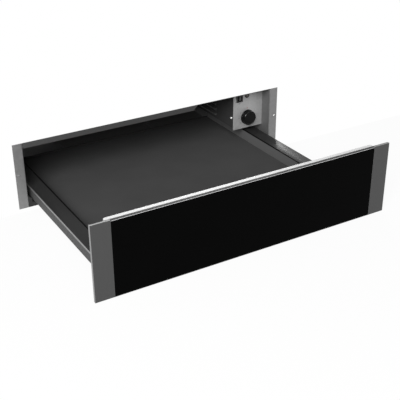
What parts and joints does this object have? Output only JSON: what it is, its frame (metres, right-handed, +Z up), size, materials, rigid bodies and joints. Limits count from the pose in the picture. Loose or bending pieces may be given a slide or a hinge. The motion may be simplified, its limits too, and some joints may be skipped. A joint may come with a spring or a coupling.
{
  "type": "warming drawer",
  "caption": "Built-in warming drawer, pulled open on ball runners: black glass and steel front, low tray, sheet steel housing and a warm-air box with knob, switch and lamp",
  "frame": {"origin": "in the front plane of the housing's frame, midway between its two fixing screw holes", "axes": "+X to the right seen from the front, +Y back into the niche, +Z up"},
  "size_m": [0.596, 0.896, 0.141],
  "materials": {
    "zinc_sheet": "satin",
    "dark_sheet": "satin",
    "panel_sheet": "satin",
    "tray_sheet": "satin",
    "plate_glass": "satin",
    "black_glass": "gloss",
    "brushed_trim": "brushed",
    "bright_steel": "polished",
    "runner_steel": "satin",
    "motor_steel": "satin",
    "heater_steel": "matte",
    "wheel_aluminium": "satin",
    "black_plastic": "matte",
    "rocker_plastic": "gloss",
    "lamp_plastic": "gloss",
    "dark_plastic": "matte",
    "grey_plastic": "matte",
    "pale_plastic": "matte",
    "rubber": "matte"
  },
  "bodies": {
    "housing": {"housing_base": "dark_sheet", "housing_left": "zinc_sheet", "housing_right": "zinc_sheet", "housing_top": "dark_sheet", "housing_back": "zinc_sheet", "feet": "rubber", "control_panel": "panel_sheet", "louvre_panel": "dark_sheet", "box_floor": "dark_sheet", "box_rear": "dark_sheet", "cover_screw": "bright_steel", "thermostat": "dark_plastic", "switch_body": "black_plastic", "pilot_lamp": "lamp_plastic", "fan_casing": "zinc_sheet", "fan_motor": "motor_steel", "heating_element": "heater_steel", "thermal_cutout": "dark_plastic", "terminal_block": "pale_plastic", "cord_gland": "dark_plastic", "latch_body": "grey_plastic", "runner_support_left": "zinc_sheet", "runner_support_right": "zinc_sheet", "cabinet_rail_left": "runner_steel", "cabinet_rail_right": "runner_steel"},
    "drawer": {"tray_pan": "tray_sheet", "side_channel_left": "tray_sheet", "side_channel_right": "tray_sheet", "tray_plate": "plate_glass", "front_carrier": "dark_sheet", "top_bar": "brushed_trim", "front_backing": "brushed_trim", "front_glass": "black_glass", "front_trim_left": "brushed_trim", "front_trim_right": "brushed_trim", "buffers": "rubber", "keeper_plate": "bright_steel", "drawer_rail_left": "runner_steel", "drawer_rail_right": "runner_steel"},
    "middle_left": {"middle_rail_left": "runner_steel"},
    "middle_right": {"middle_rail_right": "runner_steel"},
    "outer_balls_left": {"outer_cage_left": "bright_steel"},
    "outer_balls_right": {"outer_cage_right": "bright_steel"},
    "inner_balls_left": {"inner_cage_left": "bright_steel"},
    "inner_balls_right": {"inner_cage_right": "bright_steel"},
    "selector": {"knob": "black_plastic", "selector_shaft": "bright_steel"},
    "switch": {"rocker": "rocker_plastic"},
    "fan": {"fan_wheel": "wheel_aluminium"},
    "latch": {"latch_plunger": "pale_plastic"}
  },
  "joints": [
    {"name": "drawer_slide", "type": "slide", "parent": "housing", "child": "drawer", "axis": [0, -1, 0], "range_m": [-0.328, 0.102]},
    {"name": "middle_slide_left", "type": "slide", "parent": "housing", "child": "middle_left", "axis": [0, -1, 0], "range_m": [-0.164, 0.051]},
    {"name": "middle_slide_right", "type": "slide", "parent": "housing", "child": "middle_right", "axis": [0, -1, 0], "range_m": [-0.164, 0.051]},
    {"name": "outer_balls_slide_left", "type": "slide", "parent": "housing", "child": "outer_balls_left", "axis": [0, -1, 0], "range_m": [-0.082, 0.0255]},
    {"name": "outer_balls_slide_right", "type": "slide", "parent": "housing", "child": "outer_balls_right", "axis": [0, -1, 0], "range_m": [-0.082, 0.0255]},
    {"name": "inner_balls_slide_left", "type": "slide", "parent": "housing", "child": "inner_balls_left", "axis": [0, -1, 0], "range_m": [-0.246, 0.0765]},
    {"name": "inner_balls_slide_right", "type": "slide", "parent": "housing", "child": "inner_balls_right", "axis": [0, -1, 0], "range_m": [-0.246, 0.0765]},
    {"name": "knob_turn", "type": "hinge", "parent": "housing", "child": "selector", "pos_m": [0.2387, 0.028, -0.002], "axis": [0, 1, 0], "range_deg": [0, 270]},
    {"name": "rocker_tip", "type": "hinge", "parent": "housing", "child": "switch", "pos_m": [0.2182, 0.033, 0.046], "axis": [1, 0, 0], "range_deg": [-16, 0]},
    {"name": "fan_spin", "type": "hinge", "parent": "housing", "child": "fan", "pos_m": [0.25, 0.105, 0.02], "axis": [0, 1, 0], "continuous": true},
    {"name": "latch_push", "type": "slide", "parent": "housing", "child": "latch", "axis": [0, 1, 0], "range_m": [0, 0.003], "stiffness_N_per_m": 300, "springref_m": -0.01}
  ],
  "couplings": [
    {"joint": "middle_slide_left", "follows": "drawer_slide", "ratio": 0.5},
    {"joint": "middle_slide_right", "follows": "drawer_slide", "ratio": 0.5},
    {"joint": "outer_balls_slide_left", "follows": "drawer_slide", "ratio": 0.25},
    {"joint": "outer_balls_slide_right", "follows": "drawer_slide", "ratio": 0.25},
    {"joint": "inner_balls_slide_left", "follows": "drawer_slide", "ratio": 0.75},
    {"joint": "inner_balls_slide_right", "follows": "drawer_slide", "ratio": 0.75}
  ]
}
